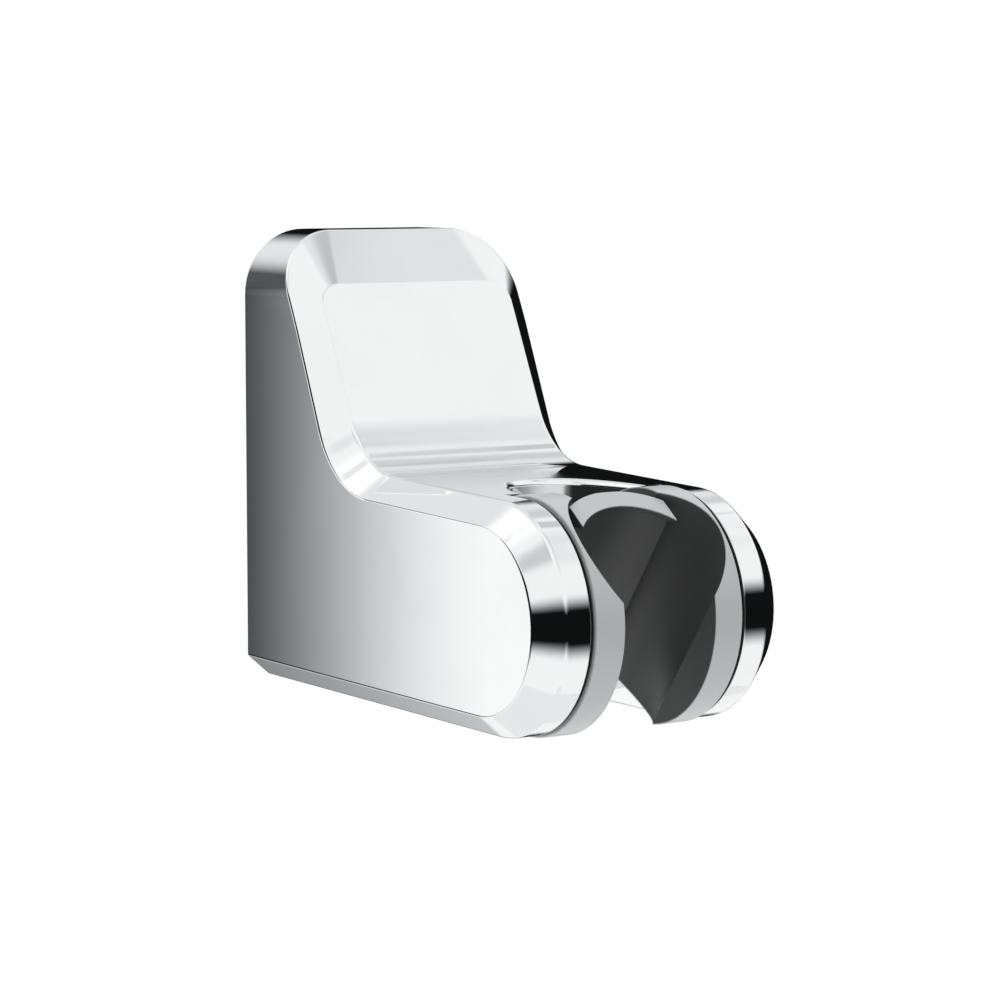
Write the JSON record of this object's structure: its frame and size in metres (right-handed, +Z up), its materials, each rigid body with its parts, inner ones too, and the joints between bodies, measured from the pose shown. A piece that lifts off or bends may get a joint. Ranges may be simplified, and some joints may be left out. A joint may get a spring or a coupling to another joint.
{
  "type": "hand shower holder",
  "caption": "Chromed wall holder for a hand shower: wedge-shaped back, arm with a fork, and a swivelling grey drum with a leaning socket, a hose slot and a sprung tongue.",
  "frame": {"origin": "on the wall, midway between the two screw holes, half way up the holder", "axes": "X along the wall, +Y into the wall, Z up; the holder reaches out towards -Y"},
  "size_m": [0.044, 0.0891, 0.0744],
  "materials": {
    "body_chrome": "polished chrome plating on plastic",
    "drum_plastic": "satin light grey outside, dark grey inside the socket",
    "ring_rubber": "matt",
    "plate_plastic": "matt",
    "steel": "plain"
  },
  "bodies": {
    "holder": {"body_shell": "body_chrome", "wall_plate": "plate_plastic", "lock_nut": "steel", "grub_screw": "steel"},
    "drum": {"swivel_drum": "drum_plastic", "friction_rings": "ring_rubber"}
  },
  "joints": [
    {"name": "drum_swivel", "type": "hinge", "parent": "holder", "child": "drum", "pos_m": [0, -0.071, -0.01925], "axis": [1, 0, 0], "range_deg": [-15, 15]}
  ]
}
